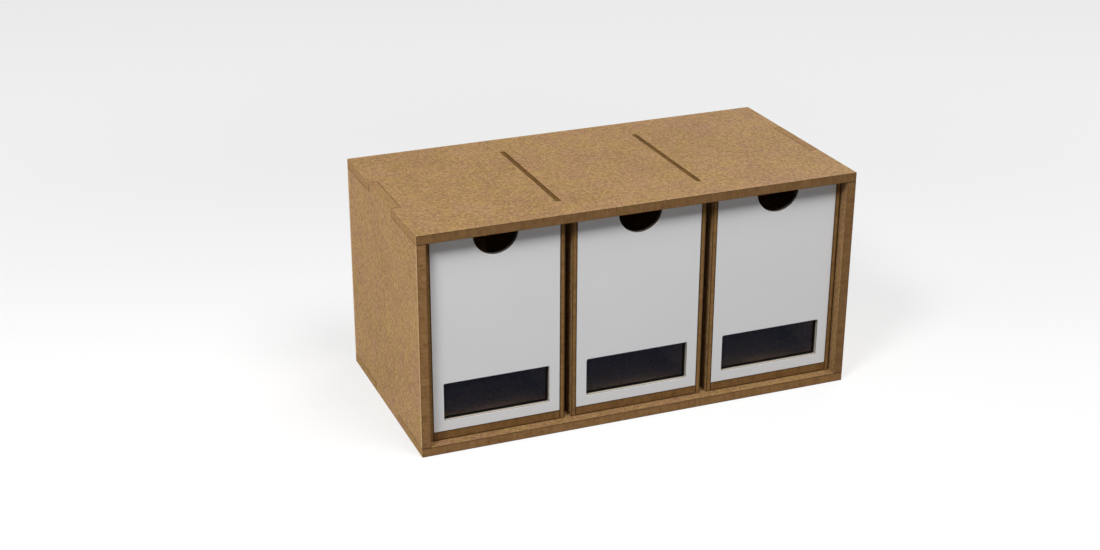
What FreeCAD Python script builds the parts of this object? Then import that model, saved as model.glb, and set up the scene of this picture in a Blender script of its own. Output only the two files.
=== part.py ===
import FreeCAD, Part
import os

import Sketcher

# Trading card drawer box: an open-fronted case of thick fibreboard, divided into three bays,
# with one tall drawer of thin board sliding in each bay.  Every board is flat stock cut to an
# outline, so every piece is one padded outline with rectangles or a circle cut through it.
#
# Frame: millimetres, +Z up, the open front faces -Y, +X to the right of someone facing it.
# The origin is the middle of the case's underside.

DRIVING_SIZES = {
    # the case
    "case_width": 300.0,  # outside, left to right
    "case_depth": 150.0,  # outside, front to back
    "case_height": 150.0,  # outside, bottom to top
    "case_board": 6.0,  # thickness of the top, bottom and side boards
    "back_board": 3.2,  # thickness of the board let in at the back
    "case_tab_length": 50.0,  # finger on each side board, front to back
    "joint_gap": 0.1,  # play around every finger and tenon
    # the two dividers and their tenons
    "divider_board": 3.2,
    "divider_setback": 15.0,  # case front to the divider's front edge
    "tenon_setback": 24.0,  # case front to the start of the tenon
    "tenon_length": 101.0,
    "tenon_sink": 0.4,  # tenon end below the outer face of the case
    # the three drawers
    "drawer_recess": 7.0,  # case front to the drawer's front
    "drawer_side_gap": 0.9,  # running gap on each side of a drawer
    "drawer_floor_gap": 0.3,
    "drawer_top_gap": 1.0,
    "drawer_stop_gap": 0.3,  # drawer's back to the case's back board
    "drawer_board": 3.2,  # thickness of the drawer's sides and back
    "drawer_base_board": 6.0,
    "drawer_tab_length": 46.0,  # finger on the drawer's base and back
    # the white front of a drawer, its finger notch and its window
    "front_board": 3.2,
    "front_gap": 0.15,  # glue line between the front and each side
    "notch_radius": 15.0,
    "window_margin": 7.0,  # white frame left, right and below the window
    "window_height": 26.0,
    "window_corner": 1.0,  # corner radius of the window
    "pane_sheet": 1.0,  # thickness of the clear sheet
    "pane_overlap": 4.0,  # how far the sheet reaches past the window
}

DRAWER_NAMES = ("left_drawer", "middle_drawer", "right_drawer")
DIVIDER_NAMES = ("left_divider", "right_divider")

# Sizes that follow from the driving ones, written as expressions for the document.
CASE_INNER_WIDTH = "(sizes.case_width - 2 * sizes.case_board)"
CASE_INNER_HEIGHT = "(sizes.case_height - 2 * sizes.case_board)"
CASE_INNER_DEPTH = "(sizes.case_depth - sizes.back_board)"
CASE_LEFT = "(-sizes.case_width / 2)"
CASE_FRONT = "(-sizes.case_depth / 2)"
CASE_TAB_START = "((sizes.case_depth - sizes.case_tab_length) / 2)"
CASE_TAB_END = "((sizes.case_depth + sizes.case_tab_length) / 2)"
DIVIDERS_WIDTH = f"({len(DIVIDER_NAMES)} * sizes.divider_board)"
BAY_WIDTH = f"(({CASE_INNER_WIDTH} - {DIVIDERS_WIDTH}) / {len(DRAWER_NAMES)})"
BAY_PITCH = f"({BAY_WIDTH} + sizes.divider_board)"
TENON_HEIGHT = "(sizes.case_board - sizes.tenon_sink)"

DRAWER_WIDTH = f"({BAY_WIDTH} - 2 * sizes.drawer_side_gap)"
DRAWER_DEPTH = f"({CASE_INNER_DEPTH} - sizes.drawer_recess - sizes.drawer_stop_gap)"
DRAWER_HEIGHT = f"({CASE_INNER_HEIGHT} - sizes.drawer_floor_gap - sizes.drawer_top_gap)"
DRAWER_INNER_WIDTH = f"({DRAWER_WIDTH} - 2 * sizes.drawer_board)"
DRAWER_WALL_HEIGHT = f"({DRAWER_HEIGHT} - sizes.drawer_base_board)"
DRAWER_FRONT_Y = f"({CASE_FRONT} + sizes.drawer_recess)"
DRAWER_BOTTOM_Z = "(sizes.case_board + sizes.drawer_floor_gap)"
BASE_TAB_START = f"(({DRAWER_DEPTH} - sizes.drawer_tab_length) / 2)"
BACK_TAB_START = f"(({DRAWER_WALL_HEIGHT} - sizes.drawer_tab_length) / 2)"
FRONT_WIDTH = f"({DRAWER_INNER_WIDTH} - 2 * sizes.front_gap)"
WINDOW_WIDTH = f"({FRONT_WIDTH} - 2 * sizes.window_margin)"
PANE_WIDTH = f"({WINDOW_WIDTH} + 2 * sizes.pane_overlap)"
PANE_HEIGHT = "(sizes.window_height + 2 * sizes.pane_overlap)"

# Which way a board lies: the origin plane that its outline is drawn on, and whether the pad
# runs against the plane's normal.  Every board then fills positive X, Y and Z from its corner.
FLAT = ("XY_Plane", False)
FACING_SIDE = ("YZ_Plane", False)
FACING_FRONT = ("XZ_Plane", True)

TOUCH = 0.01  # two places closer than this are the same place

doc = FreeCAD.newDocument("card_drawer_box")


def make_size_sheet():
    """Writes the driving sizes into a sheet, one named cell each."""
    sheet = doc.addObject("Spreadsheet::Sheet", "sizes")
    for row, (alias, value) in enumerate(DRIVING_SIZES.items(), start=1):
        sheet.set(f"A{row}", alias)
        sheet.set(f"B{row}", str(value))
        sheet.setAlias(f"B{row}", alias)
    doc.recompute()


def attach_sketch(body, plane_role, name):
    """Adds an empty sketch on one of the body's own origin planes."""
    sketch = body.newObject("Sketcher::SketchObject", name)
    planes = [item for item in body.Origin.OriginFeatures if item.Role == plane_role]
    sketch.AttachmentSupport = (planes[0], "")
    sketch.MapMode = "FlatFace"
    return sketch


def bind(sketch, constraint, name, expression):
    """Adds a dimension to the sketch and ties its value to an expression."""
    index = sketch.addConstraint(constraint)
    sketch.renameConstraint(index, name)
    sketch.setExpression(f"Constraints.{name}", expression)


def draw_rectangle(sketch, label, rectangle):
    """Draws a rectangle given as left, low, width and height; left and low may be None for zero."""
    left, low, width, height = rectangle
    first = sketch.GeometryCount
    corners = [FreeCAD.Vector(x, y, 0) for x, y in ((1, 1), (2, 1), (2, 2), (1, 2))]
    for start, end in zip(corners, corners[1:] + corners[:1]):
        sketch.addGeometry(Part.LineSegment(start, end), False)
    bottom_edge, right_edge, top_edge, left_edge = range(first, first + 4)
    edges = (bottom_edge, right_edge, top_edge, left_edge)
    for edge, following in zip(edges, edges[1:] + edges[:1]):
        sketch.addConstraint(Sketcher.Constraint("Coincident", edge, 2, following, 1))
    for edge in (bottom_edge, top_edge):
        sketch.addConstraint(Sketcher.Constraint("Horizontal", edge))
    for edge in (right_edge, left_edge):
        sketch.addConstraint(Sketcher.Constraint("Vertical", edge))
    for axis, value, which in ((-2, left, "left"), (-1, low, "low")):
        if value is None:
            sketch.addConstraint(Sketcher.Constraint("PointOnObject", bottom_edge, 1, axis))
        else:
            kind = "DistanceX" if which == "left" else "DistanceY"
            place = Sketcher.Constraint(kind, -1, 1, bottom_edge, 1, 1.0)
            bind(sketch, place, f"{label}_{which}", value)
    span = Sketcher.Constraint("DistanceX", bottom_edge, 1, bottom_edge, 2, 1.0)
    bind(sketch, span, f"{label}_width", width)
    rise = Sketcher.Constraint("DistanceY", right_edge, 1, right_edge, 2, 1.0)
    bind(sketch, rise, f"{label}_height", height)


def draw_circle(sketch, label, circle):
    """Draws a circle given as centre across, centre up and radius."""
    across, up, radius = circle
    middle = FreeCAD.Vector(1, 1, 0)
    index = sketch.addGeometry(Part.Circle(middle, FreeCAD.Vector(0, 0, 1), 1.0), False)
    bind(sketch, Sketcher.Constraint("DistanceX", -1, 1, index, 3, 1.0), f"{label}_across", across)
    bind(sketch, Sketcher.Constraint("DistanceY", -1, 1, index, 3, 1.0), f"{label}_up", up)
    bind(sketch, Sketcher.Constraint("Radius", index, 1.0), f"{label}_radius", radius)


def cut_through(body, lie, name, shapes, draw):
    """Cuts the given shapes right through a board, and checks that material went."""
    plane_role, pad_reversed = lie
    volume_before = body.Shape.Volume
    sketch = attach_sketch(body, plane_role, f"{body.Name}_{name}_sketch")
    for number, shape in enumerate(shapes, start=1):
        draw(sketch, f"{name}{number}", shape)
    pocket = body.newObject("PartDesign::Pocket", f"{body.Name}_{name}")
    pocket.Profile = sketch
    pocket.Type = "ThroughAll"
    pocket.Reversed = not pad_reversed
    doc.recompute()
    if body.Shape.Volume > volume_before - TOUCH:
        raise RuntimeError(f"{body.Name}: {name} cut nothing")


def make_board(name, lie, outline, corner, cutouts=(), round_cutouts=()):
    """Makes one flat board: a padded rectangle, cut through, then placed by its low corner.

    outline is width, height and thickness; corner is the place of the board's low corner;
    the cutouts are rectangles and the round ones circles, all measured from that corner.
    """
    plane_role, pad_reversed = lie
    width, height, thickness = outline
    body = doc.addObject("PartDesign::Body", name)
    body.Label = name
    sketch = attach_sketch(body, plane_role, f"{name}_outline_sketch")
    draw_rectangle(sketch, "outline", (None, None, width, height))
    pad = body.newObject("PartDesign::Pad", f"{name}_sheet")
    pad.Profile = sketch
    pad.Reversed = pad_reversed
    pad.setExpression("Length", thickness)
    doc.recompute()
    if cutouts:
        cut_through(body, lie, "cutout", cutouts, draw_rectangle)
    if round_cutouts:
        cut_through(body, lie, "round_cutout", round_cutouts, draw_circle)
    for axis, place in zip("xyz", corner):
        body.setExpression(f".Placement.Base.{axis}", place)
    doc.recompute()
    return body


def corner_shoulders(width, height, low_end, high_end, depth):
    """The four corner rectangles whose removal leaves a tab in the middle of two edges."""
    top = f"({height} - {depth})"
    rear_width = f"({width} - {high_end})"
    return [
        (None, None, low_end, depth),
        (high_end, None, rear_width, depth),
        (None, top, low_end, depth),
        (high_end, top, rear_width, depth),
    ]


def divider_left_x(number):
    """Left face of divider 1 or 2, measured from the left end of the case."""
    return f"(sizes.case_board + {number} * {BAY_WIDTH} + {number - 1} * sizes.divider_board)"


def make_case_covers():
    """Top and bottom boards, alike: a notch for each side board and a slot for each divider."""
    notch_width = "(sizes.case_board + sizes.joint_gap)"
    notch_start = f"({CASE_TAB_START} - sizes.joint_gap)"
    notch_length = "(sizes.case_tab_length + 2 * sizes.joint_gap)"
    slot_width = "(sizes.divider_board + 2 * sizes.joint_gap)"
    slot_start = "(sizes.tenon_setback - sizes.joint_gap)"
    slot_length = "(sizes.tenon_length + 2 * sizes.joint_gap)"
    right_notch = f"(sizes.case_width - {notch_width})"
    cuts = [
        (None, notch_start, notch_width, notch_length),
        (right_notch, notch_start, notch_width, notch_length),
    ]
    for number in range(1, len(DIVIDER_NAMES) + 1):
        slot_left = f"({divider_left_x(number)} - sizes.joint_gap)"
        cuts.append((slot_left, slot_start, slot_width, slot_length))
    outline = ("sizes.case_width", "sizes.case_depth", "sizes.case_board")
    top_z = "(sizes.case_height - sizes.case_board)"
    for name, low_z in (("case_bottom_board", "0"), ("case_top_board", top_z)):
        make_board(name, FLAT, outline, (CASE_LEFT, CASE_FRONT, low_z), cuts)


def make_case_sides():
    """Left and right boards: full height at the middle finger, between the covers elsewhere."""
    outline = ("sizes.case_depth", "sizes.case_height", "sizes.case_board")
    cuts = corner_shoulders(outline[0], outline[1], CASE_TAB_START, CASE_TAB_END, "sizes.case_board")
    right_x = "(sizes.case_width / 2 - sizes.case_board)"
    for name, low_x in (("case_left_board", CASE_LEFT), ("case_right_board", right_x)):
        make_board(name, FACING_SIDE, outline, (low_x, CASE_FRONT, "0"), cuts)


def make_case_back():
    """The thin back board, let in flush between the four thick boards."""
    outline = (CASE_INNER_WIDTH, CASE_INNER_HEIGHT, "sizes.back_board")
    corner = (
        f"({CASE_LEFT} + sizes.case_board)",
        f"({CASE_FRONT} + {CASE_INNER_DEPTH})",
        "sizes.case_board",
    )
    make_board("case_back_board", FACING_FRONT, outline, corner)


def make_dividers():
    """Two dividers that run back to the back board, each with a tenon up and a tenon down."""
    width = f"({CASE_INNER_DEPTH} - sizes.divider_setback)"
    height = f"({CASE_INNER_HEIGHT} + 2 * {TENON_HEIGHT})"
    tenon_start = "(sizes.tenon_setback - sizes.divider_setback)"
    tenon_end = f"({tenon_start} + sizes.tenon_length)"
    cuts = corner_shoulders(width, height, tenon_start, tenon_end, TENON_HEIGHT)
    for number, name in enumerate(DIVIDER_NAMES, start=1):
        corner = (
            f"({CASE_LEFT} + {divider_left_x(number)})",
            f"({CASE_FRONT} + sizes.divider_setback)",
            "sizes.tenon_sink",
        )
        make_board(name, FACING_SIDE, (width, height, "sizes.divider_board"), corner, cuts)


def make_drawer_base(drawer, left_x):
    """Thick base between the drawer's sides, with a finger through each of them."""
    rear_start = f"({BASE_TAB_START} + sizes.drawer_tab_length)"
    rear_length = f"({DRAWER_DEPTH} - {rear_start})"
    right_x = f"({DRAWER_WIDTH} - sizes.drawer_board)"
    cuts = [
        (x, y, "sizes.drawer_board", length)
        for x in (None, right_x)
        for y, length in ((None, BASE_TAB_START), (rear_start, rear_length))
    ]
    outline = (DRAWER_WIDTH, DRAWER_DEPTH, "sizes.drawer_base_board")
    make_board(f"{drawer}_base", FLAT, outline, (left_x, DRAWER_FRONT_Y, DRAWER_BOTTOM_Z), cuts)


def make_drawer_sides(drawer, left_x):
    """Two side boards, notched below for the base's finger and behind for the back's."""
    back_notch_width = "(sizes.drawer_board + sizes.joint_gap)"
    notch_length = "(sizes.drawer_tab_length + 2 * sizes.joint_gap)"
    cuts = [
        (
            f"({BASE_TAB_START} - sizes.joint_gap)",
            None,
            notch_length,
            "(sizes.drawer_base_board + sizes.joint_gap)",
        ),
        (
            f"({DRAWER_DEPTH} - {back_notch_width})",
            f"(sizes.drawer_base_board + {BACK_TAB_START} - sizes.joint_gap)",
            back_notch_width,
            notch_length,
        ),
    ]
    outline = (DRAWER_DEPTH, DRAWER_HEIGHT, "sizes.drawer_board")
    right_x = f"({left_x} + {DRAWER_WIDTH} - sizes.drawer_board)"
    for side, low_x in (("left_side", left_x), ("right_side", right_x)):
        corner = (low_x, DRAWER_FRONT_Y, DRAWER_BOTTOM_Z)
        make_board(f"{drawer}_{side}", FACING_SIDE, outline, corner, cuts)


def make_drawer_back(drawer, left_x):
    """Back board standing on the base, with a finger through each side."""
    upper_start = f"({BACK_TAB_START} + sizes.drawer_tab_length)"
    upper_length = f"({DRAWER_WALL_HEIGHT} - {upper_start})"
    right_x = f"({DRAWER_WIDTH} - sizes.drawer_board)"
    cuts = [
        (x, z, "sizes.drawer_board", length)
        for x in (None, right_x)
        for z, length in ((None, BACK_TAB_START), (upper_start, upper_length))
    ]
    corner = (
        left_x,
        f"({DRAWER_FRONT_Y} + {DRAWER_DEPTH} - sizes.drawer_board)",
        f"({DRAWER_BOTTOM_Z} + sizes.drawer_base_board)",
    )
    outline = (DRAWER_WIDTH, DRAWER_WALL_HEIGHT, "sizes.drawer_board")
    make_board(f"{drawer}_back", FACING_FRONT, outline, corner, cuts)


def window_corner_edges(board):
    """The edges that run through the board at the corners of its window."""
    shape = board.Shape
    outline = shape.BoundBox
    found = []
    for number, edge in enumerate(shape.Edges, start=1):
        middle = edge.BoundBox.Center
        runs_through = edge.BoundBox.YLength > outline.YLength / 2
        inside_width = outline.XMin + TOUCH < middle.x < outline.XMax - TOUCH
        inside_height = outline.ZMin + TOUCH < middle.z < outline.ZMax - TOUCH
        if runs_through and inside_width and inside_height:
            found.append(f"Edge{number}")
    return found


def make_drawer_front(drawer, left_x):
    """White front between the sides: a half-round finger notch above and a window below."""
    window = ("sizes.window_margin", "sizes.window_margin", WINDOW_WIDTH, "sizes.window_height")
    notch = (f"({FRONT_WIDTH} / 2)", DRAWER_WALL_HEIGHT, "sizes.notch_radius")
    corner = (
        f"({left_x} + sizes.drawer_board + sizes.front_gap)",
        DRAWER_FRONT_Y,
        f"({DRAWER_BOTTOM_Z} + sizes.drawer_base_board)",
    )
    outline = (FRONT_WIDTH, DRAWER_WALL_HEIGHT, "sizes.front_board")
    name = f"{drawer}_front"
    body = make_board(name, FACING_FRONT, outline, corner, [window], [notch])
    cut_board = body.Tip
    rounding = body.newObject("PartDesign::Fillet", f"{name}_rounding")
    rounding.Base = (cut_board, window_corner_edges(cut_board))
    rounding.setExpression("Radius", "sizes.window_corner")
    doc.recompute()


def make_drawer_pane(drawer, left_x):
    """Clear sheet glued behind the window."""
    inset = "(sizes.window_margin - sizes.pane_overlap)"
    corner = (
        f"({left_x} + sizes.drawer_board + sizes.front_gap + {inset})",
        f"({DRAWER_FRONT_Y} + sizes.front_board)",
        f"({DRAWER_BOTTOM_Z} + sizes.drawer_base_board + {inset})",
    )
    outline = (PANE_WIDTH, PANE_HEIGHT, "sizes.pane_sheet")
    make_board(f"{drawer}_window_pane", FACING_FRONT, outline, corner)


def make_drawer(drawer, number):
    """One whole drawer in bay 0, 1 or 2, counted from the left."""
    left_x = f"({CASE_LEFT} + sizes.case_board + {number} * {BAY_PITCH} + sizes.drawer_side_gap)"
    make_drawer_base(drawer, left_x)
    make_drawer_sides(drawer, left_x)
    make_drawer_back(drawer, left_x)
    make_drawer_front(drawer, left_x)
    make_drawer_pane(drawer, left_x)


def check_document():
    """Stops if any object failed or any board is empty or broken."""
    doc.recompute()
    for item in doc.Objects:
        if {"Invalid", "Error"} & set(item.State):
            raise RuntimeError(f"{item.Name} did not compute: {item.State}")
    for body in doc.findObjects("PartDesign::Body"):
        if body.Shape.isNull() or not body.Shape.isValid() or len(body.Shape.Solids) != 1:
            raise RuntimeError(f"{body.Label} is not one sound solid")


def export_boards():
    """Writes each board to its own file, named by its label."""
    os.makedirs("parts", exist_ok=True)
    for body in doc.findObjects("PartDesign::Body"):
        body.Shape.exportStep(f"parts/{body.Label}.step")
        box = body.Shape.BoundBox
        low = f"{box.XMin:8.2f} {box.YMin:8.2f} {box.ZMin:8.2f}"
        print(f"{body.Label:28s} {low}  to {box.XMax:8.2f} {box.YMax:8.2f} {box.ZMax:8.2f}")


make_size_sheet()
make_case_covers()
make_case_sides()
make_case_back()
make_dividers()
for bay, drawer_name in enumerate(DRAWER_NAMES):
    make_drawer(drawer_name, bay)
check_document()
export_boards()
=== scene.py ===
# %% [markdown]
# # A trading card drawer box
#
# The real box is a small desk cabinet for trading cards, sold flat and glued together at home.
# A laser cuts every board out of bare fibreboard, so the broad faces stay the pale tan of the
# pressed sheet, and the cut edges come out browned by the beam. Three drawers stand side by side.
# Each drawer has a white-faced front with a half-round finger notch and a label window, and a clear
# sheet sits behind the window.
#
# All twenty-five boards and sheets come from the construction model at their real size, and that
# model already has every finger, slot, notch and window. So this script leaves the shapes alone.
# It eases their edges and gives them their finish, a floor to stand on, studio light and a camera.
# Nothing small repeats on the box, such as screws or slats, so no piece is scattered by nodes.

import math

import bpy
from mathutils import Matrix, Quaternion, Vector


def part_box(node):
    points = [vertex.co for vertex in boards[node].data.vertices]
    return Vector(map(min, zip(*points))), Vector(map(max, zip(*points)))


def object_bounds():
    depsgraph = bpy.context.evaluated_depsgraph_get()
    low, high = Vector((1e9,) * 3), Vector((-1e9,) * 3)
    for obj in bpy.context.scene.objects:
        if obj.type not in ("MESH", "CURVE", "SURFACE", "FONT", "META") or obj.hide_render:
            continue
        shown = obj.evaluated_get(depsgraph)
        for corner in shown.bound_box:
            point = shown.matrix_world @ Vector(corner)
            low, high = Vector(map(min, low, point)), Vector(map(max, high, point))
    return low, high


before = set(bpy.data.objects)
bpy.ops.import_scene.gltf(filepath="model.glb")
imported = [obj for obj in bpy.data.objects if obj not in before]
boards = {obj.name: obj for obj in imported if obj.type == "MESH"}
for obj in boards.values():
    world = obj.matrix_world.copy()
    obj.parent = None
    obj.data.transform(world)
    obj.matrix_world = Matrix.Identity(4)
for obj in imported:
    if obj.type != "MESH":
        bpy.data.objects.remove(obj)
cad_low, cad_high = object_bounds()
print(len(boards), "boards, box in metres:", tuple(cad_low), tuple(cad_high))

# %% [markdown]
# ## Small helpers
#
# Blender measures in metres and mixes colours in linear light. A maker thinks in millimetres and
# picks colours as hex codes. So one helper turns a hex code to linear light, and one turns the real
# size of a pattern into the scale that a texture node asks for.
#
# A material is a tree of nodes. One more helper adds a node of any kind, with its settings and with
# its inputs, which are either fixed values or wires from other nodes. A Mix node numbers its inputs:
# 0 is the share, 2 and 3 are the two numbers, and 6 and 7 are the two colours.

# %% Millimetres and colours
MM = 0.001


def linear(hex_code):
    """A hex colour, such as "#9A7750", as linear red, green, blue and alpha."""
    shares = [int(hex_code[i:i + 2], 16) / 255 for i in (1, 3, 5)]
    light = [s / 12.92 if s <= 0.04045 else ((s + 0.055) / 1.055) ** 2.4 for s in shares]
    return (*light, 1.0)


def every(size_mm):
    """The texture scale at which a pattern repeats about once every size_mm millimetres."""
    return 1.0 / (size_mm * MM)


print("board tan in linear light:", [round(c, 3) for c in linear("#9A7750")])

# %% One function that adds a node


def add_node(tree, kind, inputs=None, stops=None, **settings):
    """Adds a shader node. Each input is a fixed value or another node's output.
    stops are the positions and hex colours of a colour ramp, from low to high."""
    node = tree.nodes.new("ShaderNode" + kind)
    for name, value in settings.items():
        setattr(node, name, value)
    for name, value in (inputs or {}).items():
        if isinstance(value, bpy.types.NodeSocket):
            tree.links.new(value, node.inputs[name])
        else:
            node.inputs[name].default_value = value
    if stops:
        ramp = node.color_ramp.elements
        ramp[0].position = stops[0][0]
        ramp[1].position = stops[-1][0]
        for position, _ in stops[1:-1]:
            ramp.new(position)
        for element, (_, hex_code) in zip(ramp, stops):
            element.color = linear(hex_code)
    return node


def start_material(name):
    """A new material with this name and nothing in it yet, and its node tree."""
    material = bpy.data.materials.new(name)
    material.use_nodes = True
    material.node_tree.nodes.clear()
    return material, material.node_tree


trial, trial_tree = start_material("trial")
trial_mix = add_node(trial_tree, "Mix", {0: 0.25}, data_type="RGBA")
print("colour inputs of a Mix:", [i for i, s in enumerate(trial_mix.inputs) if s.enabled])
bpy.data.materials.remove(trial)

# %% [markdown]
# ## The camera
#
# The box is seen from its front left and from above, close enough that its edges visibly run
# together. A 58 mm lens at 1.2 m gives that. The picture is 1100 by 550, and the middle of the lens
# lies left of its middle, as in a picture cut down to its right part. The lens shift gives that.

# %% Camera
SENSOR_MM = 36.0
LENS_MM = 57.81
LENS_SHIFT = 0.0636
CAMERA_PLACE = (-0.4412, -1.0073, 0.5430)
SIGHT_LINE = (0.30765, 0.86608, -0.39404)
TILT_DEGREES = -0.8

camera = bpy.data.objects.new("camera", bpy.data.cameras.new("camera"))
bpy.context.scene.collection.objects.link(camera)
camera.data.sensor_width = SENSOR_MM
camera.data.lens = LENS_MM
camera.data.shift_x = LENS_SHIFT
camera.location = CAMERA_PLACE
tilt = Quaternion((0, 0, 1), math.radians(TILT_DEGREES))
camera.rotation_mode = "QUATERNION"
camera.rotation_quaternion = Vector(SIGHT_LINE).to_track_quat("-Z", "Y") @ tilt
bpy.context.scene.camera = camera
print("camera", round(camera.location.length, 3), "m from the middle of the underside")

# %% [markdown]
# ## The studio
#
# The floor is a broad sheet of matt paper, white around the box and a touch greyer further back.
# Paper could be lit until it is white, but that much light would bleach the box too. So for the
# camera, and for what gloss and glass mirror, part of its white is its own glow. Close to the box
# enough plain paper is left for a soft shadow. For light that bounces on it is mid-grey paper, which
# throws little back up at the box.

# %% Pale floor
FLOOR_RADIUS = 4.0
FLOOR_DROP = 0.1 * MM


def paper_floor(radius, sides=96):
    """A flat disc just under the box, as one face."""
    turns = [2 * math.pi * i / sides for i in range(sides)]
    rim = [(radius * math.cos(t), radius * math.sin(t), -FLOOR_DROP) for t in turns]
    mesh = bpy.data.meshes.new("studio_floor")
    mesh.from_pydata(rim, [], [tuple(range(sides))])
    floor = bpy.data.objects.new("studio_floor", mesh)
    bpy.context.scene.collection.objects.link(floor)
    return floor


studio_floor = paper_floor(FLOOR_RADIUS)
print("floor", FLOOR_RADIUS * 2, "m across")

# %% Studio paper
BACK_OF_FLOOR = 1.7
AWAY = (0.335, 0.942, 0.0)
PAPER_TONES = (
    (0.00, "#FFFFFF"),
    (0.06, "#FBFBFB"),
    (0.12, "#F7F7F7"),
    (0.24, "#F2F2F2"),
    (0.60, "#EAEAEA"),
    (1.00, "#E4E4E4"),
)
PAPER_BOUNCE = "#8A8A8A"
INK = "#000000"
INK_SHARE = 0.08
SHADOW_REACH = 0.25
GLOW_REACH = 0.85
LEAST_GLOW = 0.62


def looked_at(tree):
    """1 where the camera looks, straight or through gloss or glass, and 0 for light that bounces on."""
    path = add_node(tree, "LightPath").outputs
    mirrored = {0: path["Is Glossy Ray"], 1: path["Is Transmission Ray"]}
    through = add_node(tree, "Math", mirrored, operation="MAXIMUM").outputs[0]
    return add_node(tree, "Math", {0: path["Is Camera Ray"], 1: through}, operation="MAXIMUM").outputs[0]


def studio_paper():
    """Matt seamless paper: no shine, and a slow fall from white to pale grey towards the back."""
    material, tree = start_material("paper_seamless_matt")
    place = add_node(tree, "TexCoord").outputs["Object"]
    away = add_node(tree, "VectorMath", {0: place, 1: AWAY}, operation="DOT_PRODUCT").outputs["Value"]
    share = add_node(tree, "Math", {0: away, 1: BACK_OF_FLOOR}, operation="DIVIDE").outputs[0]
    tone = add_node(tree, "ValToRGB", {"Fac": share}, PAPER_TONES).outputs["Color"]
    # Lit paper near the box comes out brighter than its tone, so it is written a little darker.
    inked = {0: INK_SHARE, 6: tone, 7: linear(INK)}
    matt_tone = add_node(tree, "Mix", inked, data_type="RGBA").outputs[2]
    paper = add_node(tree, "BsdfDiffuse", {"Color": matt_tone}).outputs[0]
    glow = add_node(tree, "Emission", {"Color": tone}).outputs[0]
    # Near the box over a third of it is plain paper that takes the shadow, and further off all is glow.
    reach = add_node(tree, "VectorMath", {0: place}, operation="LENGTH").outputs["Value"]
    spread = {"Value": reach, "From Min": SHADOW_REACH, "From Max": GLOW_REACH, "To Min": LEAST_GLOW}
    own_glow = add_node(tree, "MapRange", spread, interpolation_type="SMOOTHSTEP").outputs[0]
    seen = add_node(tree, "MixShader", {0: own_glow, 1: paper, 2: glow}).outputs[0]
    bounce = add_node(tree, "BsdfDiffuse", {"Color": linear(PAPER_BOUNCE)}).outputs[0]
    surface = add_node(tree, "MixShader", {0: looked_at(tree), 1: bounce, 2: seen}).outputs[0]
    add_node(tree, "OutputMaterial", {"Surface": surface})
    return material


studio_floor.data.materials.append(studio_paper())
print("paper from", PAPER_TONES[0][1], "to", PAPER_TONES[-1][1])

# %% [markdown]
# ## The light
#
# A box with recessed drawers is drawn by its shadows. One softbox hangs high in front and a little
# to the right, so the top board throws a soft shadow down the white fronts, and its light gets
# nowhere into the narrow gaps between the drawers. A smaller one, as strong, stands at the front
# left, so the left board shades the first drawer's edge. A low one beside the box lights its left
# side, and a little of it brushes past the fronts onto the inside of the right board. A lamp at the
# far side keeps the back readable when the box is seen from there, and a dim room fills the shadows.

# %% Softboxes
LOOK_AT = Vector((0.0, 0.0, 75 * MM))  # the middle of the box


def softbox(name, left_degrees, up_degrees, distance, across, level):
    """A round lamp aimed at the box. At a level of 1 it alone would light a card facing it to the
    colour the card is written in. left_degrees turns it from straight in front to the box's left."""
    turn, rise = math.radians(left_degrees), math.radians(up_degrees)
    towards = Vector((-math.sin(turn) * math.cos(rise), -math.cos(turn) * math.cos(rise), math.sin(rise)))
    lamp = bpy.data.lights.new(name, "AREA")
    lamp.shape = "DISK"
    lamp.size = across
    lamp.energy = level * math.pi**2 * (distance**2 + (across / 2) ** 2)
    holder = bpy.data.objects.new(name, lamp)
    bpy.context.scene.collection.objects.link(holder)
    holder.location = LOOK_AT + towards * distance
    holder.rotation_mode = "QUATERNION"
    holder.rotation_quaternion = (-towards).to_track_quat("-Z", "Y")
    print(name, round(lamp.energy, 1), "watts")


softbox("front_softbox", left_degrees=-22, up_degrees=62, distance=2.0, across=1.1, level=0.58)
softbox("left_softbox", left_degrees=100, up_degrees=7, distance=2.0, across=1.1, level=0.58)
softbox("left_front_softbox", left_degrees=52, up_degrees=46, distance=2.0, across=0.55, level=0.555)
softbox("far_side_lamp", left_degrees=-130, up_degrees=10, distance=2.2, across=1.1, level=0.45)

# %% Room light
ROOM_LEVEL = 0.05
BACKDROP = "#E4E4E4"


def room_light():
    """An even dim room for the lamps' sake, and a pale backdrop where the camera looks past the floor."""
    world = bpy.data.worlds.new("studio_room")
    bpy.context.scene.world = world
    world.use_nodes = True
    tree = world.node_tree
    tree.nodes.clear()
    room = add_node(tree, "Background", {"Color": (1, 1, 1, 1), "Strength": ROOM_LEVEL}).outputs[0]
    backdrop = add_node(tree, "Background", {"Color": linear(BACKDROP), "Strength": 1.0}).outputs[0]
    shown = add_node(tree, "MixShader", {0: looked_at(tree), 1: room, 2: backdrop}).outputs[0]
    add_node(tree, "OutputWorld", {"Surface": shown})


room_light()
bpy.context.scene.view_settings.view_transform = "Standard"
print("room level", ROOM_LEVEL)

# %% [markdown]
# ## Eased edges
#
# A laser leaves a crisp edge, but glueing, sanding and handling round it by a fifth of a millimetre.
# Without that tiny round an edge catches no light and a joint shows no line. The boards arrive as
# loose triangles, so a Weld joins them first, and a Bevel limited by angle rounds only true corners.
# Both stay as live modifiers, so the boards' own meshes are untouched.

# %% Ease every board
CASE_EASE = 0.28 * MM
BASE_EASE = 0.22 * MM
THIN_EASE = 0.14 * MM
SHEET_EASE = 0.06 * MM
SAME_POINT = 0.005 * MM
CORNER_DEGREES = 35


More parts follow.
